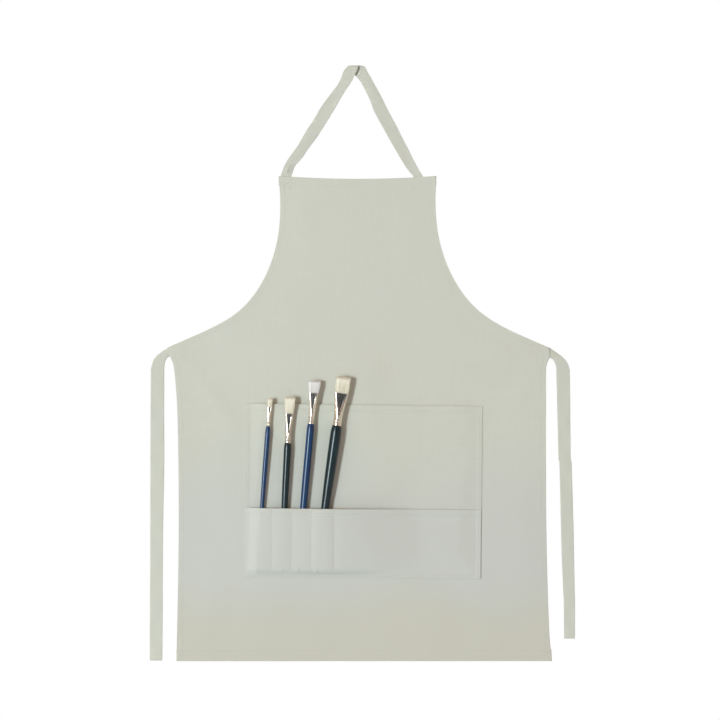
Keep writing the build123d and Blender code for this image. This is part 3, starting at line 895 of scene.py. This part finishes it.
def pocket_depth(u, v):
    """How far the large pocket's middle layer stands before the panel's."""
    x, z = pocket_place(u, v)
    gap = pocket_edge(u, v)
    puff = 1.7 + 3.4 * (1 - smooth((x - 20) / 120))
    free = puff - crease(x, z, (40, -820), (250, -705), 20, 1.7) + ripple(x, z, 21, 70, 0.16)
    depth = CANVAS + turned_under(u, v, 0.25) + free * pocket_room(u, v)
    depth = depth + pucker(v, gap, 5.0, 5.2) * (POCKET_HALF - np.abs(u) < 14)
    depth = depth + pucker(u, v + POCKET_REACH, 5.0, 0.4) * (v + POCKET_REACH < 14)
    return depth + pucker(u, POCKET_REACH - v, POCKET_HEM - 2, 3.3)


def pocket_plain(u, v):
    """The large pocket's middle layer, before the lines between the sleeves draw it forwards."""
    return lay(*pocket_place(u, v))[..., 1] * (1 - 0.85 * pocket_room(u, v)) - pocket_depth(u, v)


def pocket_y(u, v):
    """The large pocket's middle layer. The lines between the sleeves hold it up to the brush pocket."""
    x, z = pocket_place(u, v)
    y = pocket_plain(u, v)
    fade = 1 - smooth((z - MOUTH + 11) / 13)
    for wall in DIVIDERS:
        wide = np.where((x > wall) & (wall == DIVIDERS[-1]), 40.0, RIDGE)
        height = sleeve_swell(u, v, np.full_like(x, wall)) - DIP - NOTCH
        y = y - np.maximum(height, 0) * bell(x - wall, wide) * fade
    return y


# Sideways place at the pocket's mouth, lean in degrees, four radii of the handle, three lengths, then the
# ferrule mouth's width and depth and the tip's width.
SIZES = "mouth_x lean r_foot r_mouth r_belly r_ferrule handle ferrule bristle mouth_w mouth_d tip_w"
Brush = namedtuple("Brush", SIZES)
BRUSHES = {
    "brush_1": Brush(-172.2, 4.4, 2.4, 3.8, 4.7, 3.4, 269, 36, 17, 8.4, 4.0, 9.5),
    "brush_2": Brush(-130.2, 3.0, 3.0, 5.7, 6.7, 5.4, 238, 55, 33, 15.6, 5.0, 20.5),
    "brush_3": Brush(-95.2, 5.15, 3.2, 6.2, 6.8, 5.6, 274, 58, 24, 18.0, 5.4, 23.0),
    "brush_4": Brush(-55.0, 8.2, 3.8, 7.4, 10.0, 8.2, 272, 61, 32, 26.0, 6.4, 27.0),
}
HIDDEN = 114.0  # how deep a brush stands in its sleeve
STAND_OFF = 2.0  # from a sleeve's back to the foot of its brush
BELLY_BELOW_FERRULE = 22.0


def brush_place(brush):
    """Where a brush stands: its foot at the origin, its length along Z, its flat face to the front."""
    tilt = math.atan((brush.r_belly - brush.r_foot) / (brush.handle - BELLY_BELOW_FERRULE))
    lean = math.radians(brush.lean)
    x, z = brush.mouth_x - HIDDEN * math.sin(lean), MOUTH - HIDDEN * math.cos(lean)
    foot = Matrix.Translation((x, BRUSH_PLANE - STAND_OFF - brush.r_foot, z))
    return np.array(foot @ Matrix.Rotation(lean, 4, "Y") @ Matrix.Rotation(tilt, 4, "X"))


def handle_at(brush, z):
    """Sideways place, front-to-back place and radius of a handle at a level."""
    foot, way = brush_place(brush)[:3, 3], brush_place(brush)[:3, 2]
    along = np.maximum((z - foot[2]) / way[2], 0)
    radius = between(brush.r_foot, brush.r_mouth, along / HIDDEN)
    return foot[0] + way[0] * along, foot[1] + way[1] * along, radius


COVER = 0.95  # from a handle to the middle of the cloth over it
LIP_COVER = 0.6  # more of that at the doubled mouth
DIP = 0.8  # how far the cloth sinks between two handles
DIP_WIDTH = 9.0
NOTCH = 0.2  # how deep a line of stitching presses into the cloth
RIDGE = 7.0  # width over which such a line draws the large pocket forwards
SWELL_LEFT = -204.5  # where the swell over the handles begins, at the pocket's sewn edge
SWELL_RIGHT = 130.0  # where it ends, in the wide compartment
BLUNT = 0.5  # how softly the cloth rounds off from a handle into the swell around it


def tier_base(u, v):
    """The brush pocket's middle layer where it lies flat on the large pocket."""
    return pocket_plain(u, v) - CANVAS - turned_under(u, v, 0.2)


def sleeve_crests(u, v):
    """For each handle: its sideways place, its radius, and the height of its sleeve before the base."""
    base = tier_base(u, v)
    cover = COVER + LIP_COVER * smooth((v - MOUTH_V + 14) / 14)
    crests = []
    for brush in BRUSHES.values():
        axis_x, axis_y, radius = handle_at(brush, pocket_place(u, v)[1])
        crests.append((axis_x, radius, base - axis_y + radius + cover))
    return crests


def curve_through(x, knots, heights):
    """A smooth curve at x, level at its ends, that never rises above or sinks below its knots."""
    rises = [(b - a) / (q - p) for a, b, p, q in zip(heights, heights[1:], knots, knots[1:])]
    level = np.zeros_like(x)
    steep = [level]
    for before, after in zip(rises, rises[1:]):
        same_way = before * after > 0
        steep.append(np.where(same_way, 2 * before * after / np.where(same_way, before + after, 1.0), 0.0))
    steep.append(level)
    curve = level
    for p, q, a, b, leave, reach in zip(knots, knots[1:], heights, heights[1:], steep, steep[1:]):
        t = np.clip((x - p) / (q - p), 0, 1)
        bend = (q - p) * (leave * t * (1 - t) ** 2 - reach * t**2 * (1 - t))
        curve = np.where((x >= p) & (x < q), between(a, b, smooth(t)) + bend, curve)
    return curve


def sleeve_swell(u, v, x):
    """Height at x of the brush pocket's one broad swell over all the handles."""
    grown = smooth((v + POCKET_REACH - 2) / 15)
    none = np.zeros_like(x)
    crests = sleeve_crests(u, v)
    knots = [none + SWELL_LEFT, *(crest[0] for crest in crests), none + SWELL_RIGHT]
    return curve_through(x, knots, [none, *(crest[2] * grown for crest in crests), none])


def blunt_max(a, b):
    """The larger of two heights, rounded off where they cross."""
    return BLUNT * (np.logaddexp(a / BLUNT, b / BLUNT) - math.log(2) * np.exp(-np.abs(a - b)))


def brush_pocket_y(u, v):
    """The brush pocket's middle layer: one swell over all the handles, sewn down in lines between them."""
    u, v = floats(u, v)
    x, _ = pocket_place(u, v)
    up = v + POCKET_REACH  # above the bottom seam
    wide = smooth((x - DIVIDERS[-1]) / 60) * smooth((POCKET_HALF - u - 6) / 44) * smooth((up - 4) / 40)
    billow = 0.7 + 0.6 * up / (MOUTH_V + POCKET_REACH) + ripple(x, v, 33, 60, 0.2)
    lift = sleeve_swell(u, v, x)
    for wall in DIVIDERS:
        lift = lift - DIP * bell(x - wall, DIP_WIDTH) * smooth((up - 6) / 20)
    for axis_x, radius, crest in sleeve_crests(u, v):
        shell = radius + COVER
        round_top = crest - shell + np.sqrt(np.maximum(shell**2 - (x - axis_x) ** 2, 0))
        over = np.abs(x - axis_x) < shell
        lift = np.where(over, blunt_max(lift, np.minimum(round_top, crest) * smooth((up - 3) / 11.5)), lift)
    for wall in DIVIDERS:
        lift = lift - NOTCH * bell(x - wall, 1.8) * smooth((up - 6) / 8)
    return tier_base(u, v) - billow * wide - lift


def pocket_line(u, v, height, before=0.0):
    """Places on a pocket, some way before its middle layer."""
    u, v = floats(u, v)
    x, z = pocket_place(u, v)
    return np.stack([x, height(u, v) - before, z], -1)


def pocket_sheet(name, height, half, reach, step, rows, before=0.0):
    """Cloth over a pocket, reach to each side of its middle, with columns closer together near its edges."""
    inner = np.arange(SEAM_STEPS[-1] - reach + step, reach - SEAM_STEPS[-1], step)
    u = np.unique(np.round(np.concatenate([SEAM_STEPS - reach, inner, reach - SEAM_STEPS[::-1]]), 3))
    mid = pocket_line(u, rows[:, None], height, before)
    return sheet_mesh(name, mid, half, mid[..., [0, 2]] * MM)


def pocket(name, height, top, depth, columns, rows, first_row, inset, rim_inset, rim_rows, rim_half, before):
    """A pocket's cloth and its turned top hem. The insets lead inwards from the large pocket's edge."""
    low = inset - POCKET_REACH
    v = np.concatenate([low + SEAM_STEPS, np.arange(low + first_row, top - 3, rows), [top - 2.0]])[::-1]
    body = pocket_sheet(f"{name}_cloth", height, CANVAS / 2, POCKET_HALF - inset, columns, v)
    v = np.concatenate([[top], np.arange(top - 0.9, top - depth, -rim_rows), [top - depth]])
    return body, pocket_sheet(f"{name}_rim", height, rim_half, POCKET_HALF - rim_inset, columns, v, before)


def pocket_thread():
    """Two rows of stitching round the sewn edges, the hems' rows, and the lines between the sleeves."""
    front = CANVAS / 2 + 0.08
    lines = []
    for inset in (2.0, 6.6):
        reach = POCKET_HALF - inset
        low = inset - POCKET_REACH
        for side in (-reach, reach):
            lines.append(pocket_line(side, np.linspace(low, MOUTH_V, 60), brush_pocket_y, front))
            lines.append(pocket_line(side, np.linspace(MOUTH_V + 2, POCKET_REACH - 1, 80), pocket_y, front))
        lines.append(pocket_line(np.linspace(-reach, reach, 200), low, brush_pocket_y, front))
    across = np.linspace(2 - POCKET_HALF, POCKET_HALF - 2, 240)
    lines.append(pocket_line(across, POCKET_REACH - POCKET_HEM + 2, pocket_y, 0.75))
    lines.append(pocket_line(across, MOUTH_V - MOUTH_HEM + 2, brush_pocket_y, 0.95))
    rungs = []
    for u in np.array(DIVIDERS) - POCKET_MIDDLE:
        lines.append(pocket_line(u, np.linspace(8 - POCKET_REACH, MOUTH_V - 1, 60), brush_pocket_y, 0.5))
        for step in np.arange(0.6, TACK_HEIGHT, 0.55):
            rungs.append(pocket_line(np.linspace(u - 1, u + 1, 5), MOUTH_V - 1 - step, brush_pocket_y, 1.0))
    tacks = stitches("bar_tacks", rungs, FACES["front"], radius=0.3, length=2.0, pitch=2.1)
    return stitches("pocket_thread", lines, FACES["front"]), tacks


# --- Brushes ---

TURNS = 44
ROUNDED_FOOT = [(0.42, 0.35), (0.75, 1.2), (0.94, 2.5)]  # shares of the foot's radius, and heights


def revolved(name, profile):
    """A turned solid from its profile of radius and height."""
    angle = np.linspace(0, 2 * math.pi, TURNS, endpoint=False)
    rings = [np.stack([r * np.cos(angle), r * np.sin(angle), np.full(TURNS, z)], -1) for r, z in profile]
    return swept(name, rings)


def handle_profile(brush):
    """Radii and heights from the rounded foot, over the belly, to the tenon inside the ferrule."""
    belly = (brush.r_belly, brush.handle - BELLY_BELOW_FERRULE)
    foot = [(0.25, 0.0), *((brush.r_foot * share, z) for share, z in ROUNDED_FOOT)]
    points = [(brush.r_foot, 4), (brush.r_mouth, HIDDEN), belly]
    taper = spline(points, 60, start=(brush.r_mouth - brush.r_foot, HIDDEN), end=(0, 1))
    shoulder = spline([belly, (brush.r_ferrule, brush.handle)], 16, start=(0, 1), end=(-0.25, 1))[1:]
    tenon = [(brush.r_ferrule - 0.5, brush.handle + 0.3), (brush.r_ferrule - 0.6, brush.handle + 8)]
    return np.vstack([foot, taper, shoulder, tenon])


BARREL_SHARE = 0.32  # of the ferrule's length is round
BEADS = (0.30, 0.62)  # places of the crimped rings, as shares of that


def ferrule_ring(radius, flat_half, points=15, side_points=13):
    """A section: two straight faces joined by half circles."""
    straight = np.linspace(-flat_half, flat_half, points)
    face = np.column_stack([straight, np.full(points, -radius)])
    a = np.linspace(-math.pi / 2, math.pi / 2, side_points)[1:-1]
    bend = np.column_stack([flat_half + radius * np.cos(a), radius * np.sin(a)])
    return np.vstack([face, bend, -face, -bend])


def at_height(ring, z):
    return np.column_stack([ring, np.full(len(ring), z)])


def ferrule_mesh(name, brush):
    """Round and beaded where it grips the handle, then squeezed flat towards its mouth."""
    ferrule, mouth = brush.ferrule, brush.mouth_d / 2
    barrel = ferrule * BARREL_SHARE
    sections = []
    for t in np.linspace(0, 1, 40):
        height = barrel * t
        radius = brush.r_ferrule + 0.35 * bell(height, 0.8)
        for bead in BEADS:
            away = (t - bead) * barrel
            radius += 0.85 * bell(away, 0.75)
            radius -= sum(0.40 * math.exp(-((away / 0.6 + groove) ** 2)) for groove in (-2.4, 2.4))
        sections.append((height, radius, 0.02))
    flat_end = brush.mouth_w / 2 - mouth
    for t in np.linspace(0, 1, 26)[1:]:
        radius = between(brush.r_ferrule, mouth, t**0.9)
        sections.append((between(barrel, ferrule, t), radius, between(0.02, flat_end, t)))
    for above, wider in ((0.25, 0.12), (0.45, -0.15), (0.2, -0.4), (-5.0, -0.45)):
        sections.append((ferrule + above, mouth + wider, flat_end))
    rings = []
    for height, radius, flat_half in sections:
        ring = ferrule_ring(radius, flat_half)
        if barrel < height <= ferrule + 0.3 and radius > mouth - 0.1:
            t = min((height - barrel) / (ferrule - barrel), 1.0)
            dish = (0.35 * math.sin(math.pi * t) + 0.12) * min(1.0, flat_half / 3)
            ring[:, 1] -= np.sign(ring[:, 1]) * dish * (np.abs(ring[:, 0]) < flat_half * 0.93)
        rings.append(at_height(ring, brush.handle + height))
    return swept(f"{name}_ferrule_metal", rings)


HAIR_RINGS = 6
HAIR_SIDES = 5
ROOTED = 4.0  # how deep the hairs start inside the ferrule


def bristle_meshes(name, brush, seed):
    """A packed tuft of separate hairs, domed and uneven at its tip, and the solid core inside it."""
    rng = np.random.default_rng(seed)
    mouth = brush.handle + brush.ferrule
    half_w, half_d = brush.mouth_w / 2 - 0.55, brush.mouth_d / 2 - 0.55
    spread = (brush.tip_w / 2 - 0.5) / half_w
    wide = max(6, int(brush.mouth_w / 0.62))
    deep = max(5, int(brush.mouth_d / 0.72))

    def half_sizes(t):
        flare = half_w * (1 + (spread - 1) * np.sin(t * math.pi / 2) ** 1.2)
        return flare, half_d * (1 + 0.42 * np.sin(math.pi * np.clip(t * 1.1, 0, 1)) - 0.30 * t**2)

    t = np.linspace(0, 1, HAIR_RINGS)
    angle = np.linspace(0, 2 * math.pi, HAIR_SIDES, endpoint=False)
    flare, thick = half_sizes(t)
    verts, faces, uv = [], [], []
    for i, j in itertools.product(range(wide), range(deep)):
        a = (i + rng.uniform(0.15, 0.85)) / wide * 2 - 1
        b = ((j + rng.uniform(0.15, 0.85)) / deep * 2 - 1) * math.sqrt(max(0.0, 1 - a**4))
        length = brush.bristle * (1 - 0.045 * a * a - 0.03 * b * b) * rng.uniform(0.93, 1.0)
        bow = rng.normal(0, 0.22)
        x = a * (flare + 0.25 * np.sin(math.pi * t)) + bow * np.sin(math.pi * t) + rng.normal(0, 0.16) * t**2
        y = b * thick + rng.normal(0, 0.14) * t**2
        z = mouth - ROOTED + (length + ROOTED) * t
        radius = rng.uniform(0.24, 0.34) * (1 - 0.55 * t**2.5)
        shade = rng.uniform(0, 1)
        faces += tube_faces(HAIR_RINGS, HAIR_SIDES, len(verts) * HAIR_RINGS * HAIR_SIDES)
        circle = np.stack([np.cos(angle), np.sin(angle), 0 * angle], -1)
        verts.append(np.stack([x, y, z], -1)[:, None] + radius[:, None, None] * circle)
        uv.append(np.stack(floats(shade, t[:, None] + 0 * angle), -1))
    tuft = new_object(f"{name}_tuft", np.reshape(verts, (-1, 3)), faces, np.reshape(uv, (-1, 2)))
    core, shades = [], []
    for t in np.linspace(0, 0.86, 8):
        flare, thick = half_sizes(t)
        ring = ferrule_ring(thick * 0.78, max(flare * 0.93 - thick * 0.78, 0.05), 7, 7)
        core.append(at_height(ring, mouth - ROOTED + (brush.bristle + ROOTED) * t))
        shades.append(np.full((len(ring), 2), (0.5, t)))
    return tuft, swept(f"{name}_tuft_core", core, shades)


def make_brush(name, lacquer, bristle, seed):
    """A brush's three pieces and the core of its tuft, standing in its sleeve."""
    brush = BRUSHES[name]
    place = brush_place(brush)
    place[:3, 3] *= MM
    tuft, core = bristle_meshes(name, brush, seed)
    for obj, slot, material, node in (
        (revolved(f"{name}_lacquered_handle", handle_profile(brush)), lacquer, lacquer, "handle"),
        (ferrule_mesh(name, brush), "ferrule_metal", "ferrule_metal", "ferrule"),
        (tuft, "bristle", bristle, "bristles"),
        (core, "bristle", bristle, None),
    ):
        obj.data.transform(Matrix(place.tolist()))
        finish(obj, slot, material)
        if node:
            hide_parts(f"{name}_{node}")
        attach(obj, name)


# --- Studio ---


def camera():
    lens = bpy.data.cameras.new("camera")
    lens.sensor_width = SENSOR
    lens.lens = SENSOR * CAMERA_BACK / VIEW_WIDTH
    lens.clip_end = VIEW_END
    obj = add_object("camera", lens)
    obj.location = (VIEW_CENTRE[0], -CAMERA_BACK, VIEW_CENTRE[1])
    obj.rotation_euler = (math.pi / 2, 0, 0)
    bpy.context.scene.camera = obj


def key_light():
    light = bpy.data.lights.new("key", "AREA")
    light.shape = "RECTANGLE"
    light.size, light.size_y = KEY_SIZE
    light.energy = KEY_POWER
    light.color = KEY_COLOUR
    obj = add_object("key", light)
    obj.location = KEY_PLACE
    obj.rotation_euler = (Vector(KEY_AIM) - obj.location).to_track_quat("-Z", "Y").to_euler()


def room():
    """A white background for the camera; for the light, a room that changes colour from front to back."""
    world = bpy.data.worlds.new("studio")
    bpy.context.scene.world = world
    n = Nodes(world)
    n.tree.nodes.clear()
    backwards = n.split(n.add("TexCoord").outputs["Generated"])[1]
    colour = (*ROOM_DARK, 1)
    for start, end, then in ROOM_STEPS:
        colour = n.mix(n.remap(backwards, start, end), colour, (*then, 1))
    light = n.add("Background", {0: colour}).outputs[0]
    seen = n.add("Background", {0: (1, 1, 1, 1)}).outputs[0]
    by_camera = n.add("LightPath").outputs["Is Camera Ray"]
    n.add("OutputWorld", {0: n.add("MixShader", {0: by_camera, 1: light, 2: seen}).outputs[0]})


def floor():
    mesh = bpy.data.meshes.new("floor")
    corners = [(-1, FLOOR_NEAR), (1, FLOOR_NEAR), (1, FLOOR_FAR), (-1, FLOOR_FAR)]
    mesh.from_pydata([(side * FLOOR_HALF, y, FLOOR_LEVEL) for side, y in corners], [], [(0, 1, 2, 3)])
    n, place = material_nodes("floor")
    mottle = n.remap(n.noise(place, 3.0, 3.0), 0.3, 0.7)
    mesh.materials.append(n.surface(Base_Color=n.mix(mottle, *FLOOR_COLOURS), Roughness=0.7))
    add_object("floor", mesh)


bpy.context.scene.view_settings.view_transform = "Standard"
camera()
key_light()
room()
floor()

# Panel, hems and their thread; the pieces that span the waist are left on no body.
apron, apron_area = panel()
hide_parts("bib_panel", "skirt_panel")
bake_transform(apron)
hems = panel_hems()
for node, obj in hems.items():
    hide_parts(node)
    if node.startswith("side"):
        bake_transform(obj)
    else:
        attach(obj, "skirt" if node == "bottom_hem" else "bib")
panel_stitches = panel_thread()
for obj in panel_stitches:
    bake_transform(obj)

# Neck strap, one tape from sewn end to sewn end.
strap, strap_length = neck_strap()
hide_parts("neck_strap", "strap_tab_left", "strap_tab_right")
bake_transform(strap)
for face, place in (("back", HEM_BACK + 0.1 + TAPE + 0.08), ("front", -CANVAS / 2 - SUNK)):
    lines = []
    for foot in STRAP_FEET.values():
        lines += sewn_box((foot - STRAP_BOX, foot + STRAP_BOX), STRAP_BOX_LEVELS, place)
    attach(stitches(f"strap_thread_{face}", lines, FACES[face]), "bib")

# Waist ties: the sewn end and soft shoulder, then the hanging strip.
tie_sheets, tie_grids = {}, {}
for name, side in SIDES.items():
    root, strip, tie_grids[name], (root_length, strip_length) = waist_tie(name)
    x = corner_x(side)
    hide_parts(f"tie_tab_{name}", f"tie_shoulder_{name}")
    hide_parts(f"tie_{name}")
    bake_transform(root)
    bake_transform(strip)
    threads = []
    for face, place in (("back", TIE_BACK + TAPE / 2 + 0.2), ("front", -CANVAS / 2 - SUNK)):
        lines = sewn_box(sorted(x - side * inwards for inwards in TIE_BOX[0]), TIE_BOX[1], place)
        threads.append(stitches(f"tie_thread_{name}_{face}", lines, FACES[face]))
        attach(threads[-1], "bib")
    tie_sheets[name] = root, root_length, threads, strip, strip_length
left_end = tie_end(tie_grids["left"])
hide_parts("tie_end_hem_left")
for obj in left_end:
    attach(obj, "tie_left")

# Pockets.
large, large_rim = pocket("large_pocket", pocket_y, POCKET_REACH, POCKET_HEM, **LARGE_MESH)
tier, tier_rim = pocket("brush_pocket", brush_pocket_y, MOUTH_V, MOUTH_HEM, **TIER_MESH)
pocket_stitches, tacks = pocket_thread()
for obj, *nodes in (
    (large, "large_pocket"),
    (large_rim, "large_pocket_hem"),
    (tier, "brush_pocket", "sleeve_1", "sleeve_2", "sleeve_3", "sleeve_4"),
    (tier_rim, "brush_pocket_hem"),
    (tacks, "sleeve_bar_tacks"),
):
    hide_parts(*nodes)
for obj in (large, large_rim, tier, tier_rim, pocket_stitches, tacks):
    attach(obj, "skirt")

for number, name in enumerate(BRUSHES, 1):
    colour = "teal_lacquer" if number % 2 == 0 else "blue_lacquer"
    make_brush(name, colour, "white_bristle" if number == 3 else "bristle", 10 + number)
